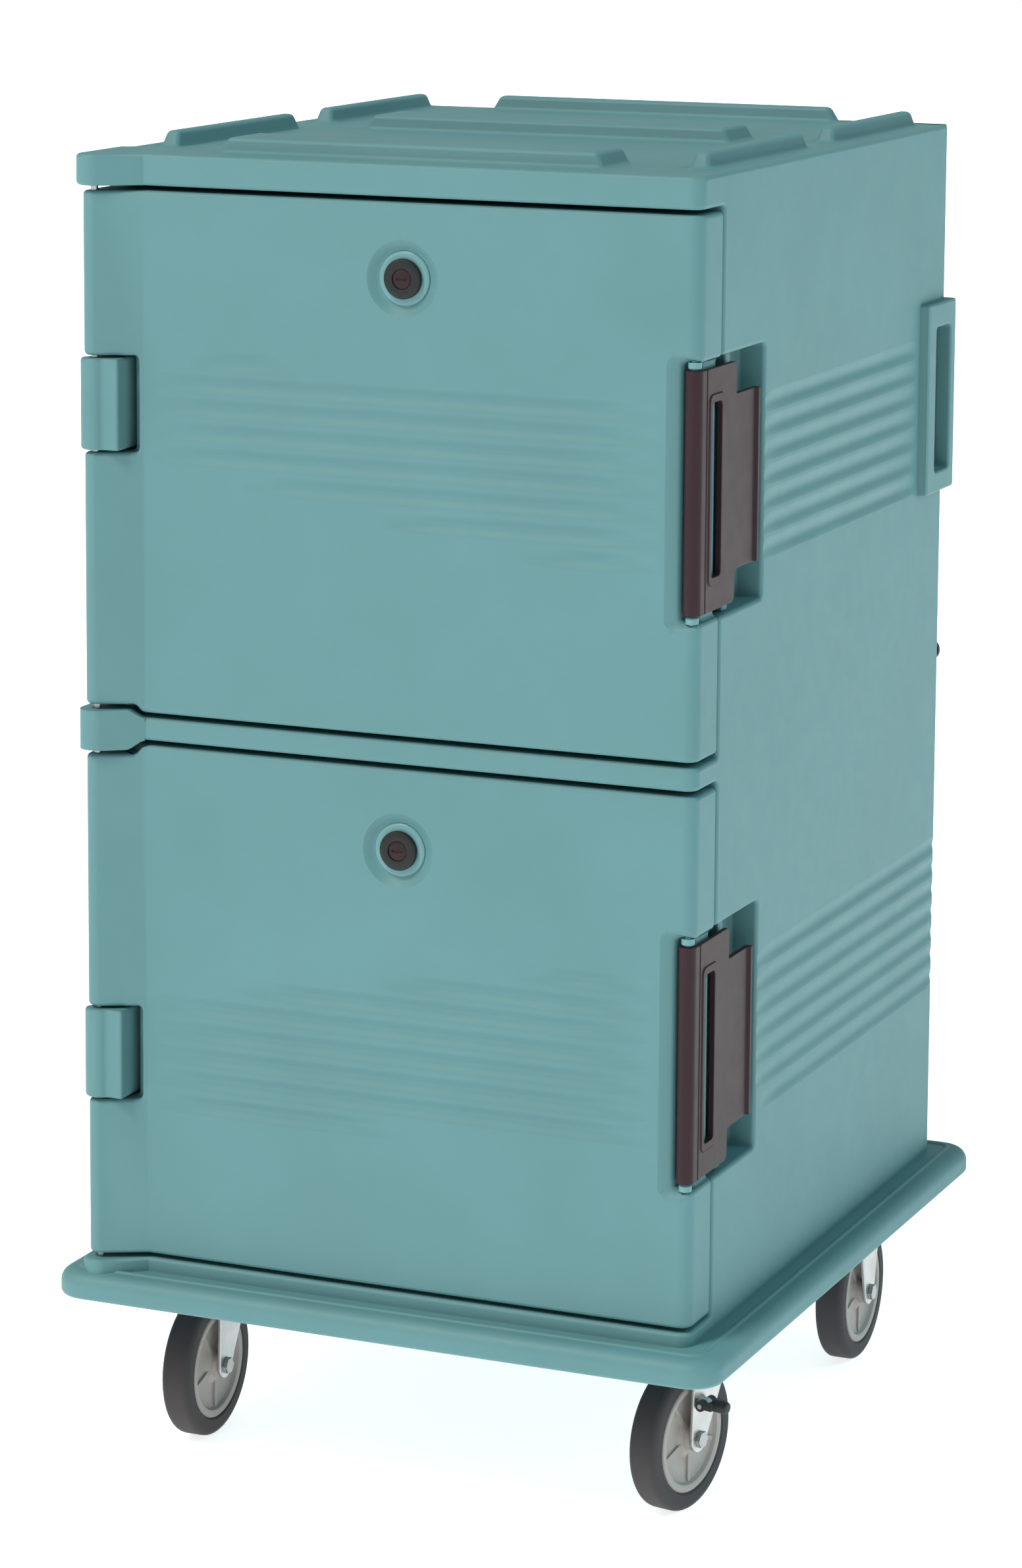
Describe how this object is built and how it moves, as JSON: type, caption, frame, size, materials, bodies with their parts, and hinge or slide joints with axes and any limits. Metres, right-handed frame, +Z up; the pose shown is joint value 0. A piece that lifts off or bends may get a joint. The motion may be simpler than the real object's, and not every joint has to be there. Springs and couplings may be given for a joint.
{
  "type": "insulated food carrier",
  "caption": "Upright insulated food pan carrier: a foamed moulded cabinet with stacked front-opening compartments, side latches, vents and casters.",
  "frame": {"origin": "on the floor under the middle of the base", "axes": "+Z up, doors face -Y, +X to the right seen from the front"},
  "size_m": [0.732, 0.836, 1.386],
  "materials": {
    "shell_plastic": "fine moulded texture",
    "foam": "rigid foamed insulation, modelled as a solid",
    "liner_plastic": "smooth moulded",
    "gasket_rubber": "matte",
    "vent_plastic": "smooth moulded",
    "dark_nylon": "satin, dark maroon brown",
    "pin_steel": "plain bright",
    "zinc_steel": "zinc plated pressed sheet",
    "hub_plastic": "light grey moulded",
    "tread_rubber": "dark grey moulded",
    "brake_plastic": "black",
    "bolt_steel": "plated"
  },
  "bodies": {
    "cabinet": {"outer_shell": "shell_plastic", "foam_core": "foam", "liner_upper": "liner_plastic", "liner_lower": "liner_plastic", "side_handle_left": "shell_plastic", "side_handle_right": "shell_plastic", "rear_plug": "dark_nylon", "hinge_knuckle_upper": "shell_plastic", "hinge_knuckle_lower": "shell_plastic", "hinge_pin_upper": "pin_steel", "hinge_pin_lower": "pin_steel", "latch_keeper_upper": "shell_plastic", "latch_keeper_lower": "shell_plastic", "caster_plate_front_left": "zinc_steel", "caster_plate_front_right": "zinc_steel", "fork_rear_left": "zinc_steel", "fork_rear_right": "zinc_steel", "axle_rear_left": "pin_steel", "axle_rear_right": "pin_steel", "caster_bolts": "bolt_steel"},
    "door_upper": {"door_shell_upper": "shell_plastic", "door_foam_upper": "foam", "door_panel_upper": "liner_plastic", "door_gasket_upper": "gasket_rubber", "vent_sleeve_upper": "vent_plastic", "latch_pin_upper": "pin_steel"},
    "latch_upper": {"latch_handle_upper": "dark_nylon"},
    "cap_upper": {"vent_cap_upper": "dark_nylon"},
    "door_lower": {"door_shell_lower": "shell_plastic", "door_foam_lower": "foam", "door_panel_lower": "liner_plastic", "door_gasket_lower": "gasket_rubber", "vent_sleeve_lower": "vent_plastic", "latch_pin_lower": "pin_steel"},
    "latch_lower": {"latch_handle_lower": "dark_nylon"},
    "cap_lower": {"vent_cap_lower": "dark_nylon"},
    "wheel_front_left": {"hub_front_left": "hub_plastic", "tread_front_left": "tread_rubber"},
    "caster_front_left": {"fork_front_left": "zinc_steel", "axle_front_left": "pin_steel"},
    "wheel_front_right": {"hub_front_right": "hub_plastic", "tread_front_right": "tread_rubber"},
    "caster_front_right": {"fork_front_right": "zinc_steel", "axle_front_right": "pin_steel"},
    "brake_front_right": {"brake_lever_front_right": "brake_plastic"},
    "wheel_rear_left": {"hub_rear_left": "hub_plastic", "tread_rear_left": "tread_rubber"},
    "wheel_rear_right": {"hub_rear_right": "hub_plastic", "tread_rear_right": "tread_rubber"}
  },
  "joints": [
    {"name": "door_upper_hinge", "type": "hinge", "parent": "cabinet", "child": "door_upper", "pos_m": [-0.32, -0.39, 1.067], "axis": [0, 0, 1], "range_deg": [-270, 0]},
    {"name": "latch_upper_hinge", "type": "hinge", "parent": "door_upper", "child": "latch_upper", "pos_m": [0.317, -0.369, 1.065], "axis": [0, 0, 1], "range_deg": [-60, 0]},
    {"name": "vent_upper_turn", "type": "hinge", "parent": "door_upper", "child": "cap_upper", "pos_m": [0.013, -0.375, 1.258], "axis": [0, 1, 0], "range_deg": [0, 90]},
    {"name": "door_lower_hinge", "type": "hinge", "parent": "cabinet", "child": "door_lower", "pos_m": [-0.32, -0.39, 0.502], "axis": [0, 0, 1], "range_deg": [-270, 0]},
    {"name": "latch_lower_hinge", "type": "hinge", "parent": "door_lower", "child": "latch_lower", "pos_m": [0.317, -0.369, 0.5], "axis": [0, 0, 1], "range_deg": [-60, 0]},
    {"name": "vent_lower_turn", "type": "hinge", "parent": "door_lower", "child": "cap_lower", "pos_m": [0.01, -0.375, 0.686], "axis": [0, 1, 0], "range_deg": [0, 90]},
    {"name": "swivel_front_left", "type": "hinge", "parent": "cabinet", "child": "caster_front_left", "pos_m": [-0.272, -0.221, 0.169], "axis": [0, 0, 1], "continuous": true},
    {"name": "spin_front_left", "type": "hinge", "parent": "caster_front_left", "child": "wheel_front_left", "pos_m": [-0.272, -0.247, 0.076], "axis": [1, 0, 0], "continuous": true},
    {"name": "swivel_front_right", "type": "hinge", "parent": "cabinet", "child": "caster_front_right", "pos_m": [0.272, -0.221, 0.169], "axis": [0, 0, 1], "continuous": true},
    {"name": "brake_front_right_pivot", "type": "hinge", "parent": "caster_front_right", "child": "brake_front_right", "pos_m": [0.29774, -0.25221, 0.115], "axis": [0.1822, 0.9833, 0], "range_deg": [0, 15]},
    {"name": "spin_front_right", "type": "hinge", "parent": "caster_front_right", "child": "wheel_front_right", "pos_m": [0.26726, -0.24657, 0.076], "axis": [0.9833, -0.1822, 0], "continuous": true},
    {"name": "spin_rear_left", "type": "hinge", "parent": "cabinet", "child": "wheel_rear_left", "pos_m": [-0.272, 0.266, 0.076], "axis": [1, 0, 0], "continuous": true},
    {"name": "spin_rear_right", "type": "hinge", "parent": "cabinet", "child": "wheel_rear_right", "pos_m": [0.272, 0.266, 0.076], "axis": [1, 0, 0], "continuous": true}
  ]
}
